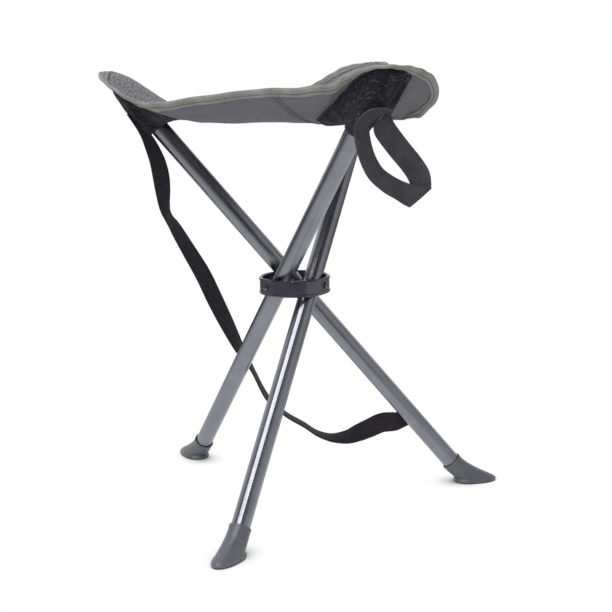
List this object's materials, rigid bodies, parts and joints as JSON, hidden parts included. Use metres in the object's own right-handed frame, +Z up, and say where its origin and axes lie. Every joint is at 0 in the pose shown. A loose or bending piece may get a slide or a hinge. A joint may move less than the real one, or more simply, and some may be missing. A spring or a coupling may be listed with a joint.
{
  "type": "tripod camping stool",
  "caption": "Folding tripod camping stool: crossed tube legs in a pivot ring, rubber boots, and a grey sling seat with black corner pockets, a carry strap and a handle loop.",
  "frame": {"origin": "on the floor, at the middle of the stool's plan outline; the hub axis stands 16 mm towards -X and 11 mm towards +Y of it", "axes": "+Z up; +X towards the foot of leg a; -Y towards the picture's camera"},
  "size_m": [0.4814, 0.4458, 0.5338],
  "materials": {
    "tube_paint": "glossy dark grey paint",
    "ring_plastic": "satin black",
    "bush_nylon": "plain",
    "rivet_steel": "blackened",
    "plug_plastic": "plain",
    "boot_rubber": "matte",
    "seat_cloth": "woven",
    "patch_cloth": "mottled weave",
    "pocket_cloth": "mottled weave",
    "binding_tape": "woven tape",
    "black_webbing": "woven webbing"
  },
  "bodies": {
    "hub": {"hub_ring": "ring_plastic", "pivot_rivet_a": "rivet_steel", "pivot_rivet_b": "rivet_steel", "pivot_rivet_c": "rivet_steel", "spacer_bush_a": "bush_nylon", "spacer_bush_b": "bush_nylon", "spacer_bush_c": "bush_nylon", "rivet_washer_a": "rivet_steel", "rivet_washer_b": "rivet_steel", "rivet_washer_c": "rivet_steel", "seat_panel": "seat_cloth", "edge_binding": "binding_tape", "corner_patch_a": "patch_cloth", "corner_patch_b": "patch_cloth", "corner_patch_c": "patch_cloth"},
    "leg_a": {"leg_tube_a": "tube_paint", "top_plug_a": "plug_plastic", "foot_boot_a": "boot_rubber", "corner_pocket_a": "pocket_cloth", "carry_strap": "black_webbing", "strap_rivet": "rivet_steel", "strap_washer": "rivet_steel"},
    "leg_b": {"leg_tube_b": "tube_paint", "top_plug_b": "plug_plastic", "foot_boot_b": "boot_rubber", "corner_pocket_b": "pocket_cloth", "handle_loop": "black_webbing"},
    "leg_c": {"leg_tube_c": "tube_paint", "top_plug_c": "plug_plastic", "foot_boot_c": "boot_rubber", "corner_pocket_c": "pocket_cloth"}
  },
  "joints": [
    {"name": "fold_a", "type": "hinge", "parent": "hub", "child": "leg_a", "pos_m": [-0.016, 0.033, 0.269], "axis": [0, 1, 0], "range_deg": [0, 39], "deforming": ["corner_pocket_a", "corner_patch_a", "seat_panel", "edge_binding"]},
    {"name": "fold_b", "type": "hinge", "parent": "hub", "child": "leg_b", "pos_m": [-0.03505, 0, 0.269], "axis": [-0.866, -0.5, 0], "range_deg": [0, 39], "deforming": ["corner_pocket_b", "corner_patch_b"]},
    {"name": "fold_c", "type": "hinge", "parent": "hub", "child": "leg_c", "pos_m": [0.00305, 0, 0.269], "axis": [0.866, -0.5, 0], "range_deg": [0, 39], "deforming": ["corner_pocket_c", "corner_patch_c"]}
  ],
  "couplings": [
    {"joint": "fold_b", "follows": "fold_a", "ratio": 1},
    {"joint": "fold_c", "follows": "fold_a", "ratio": 1}
  ]
}
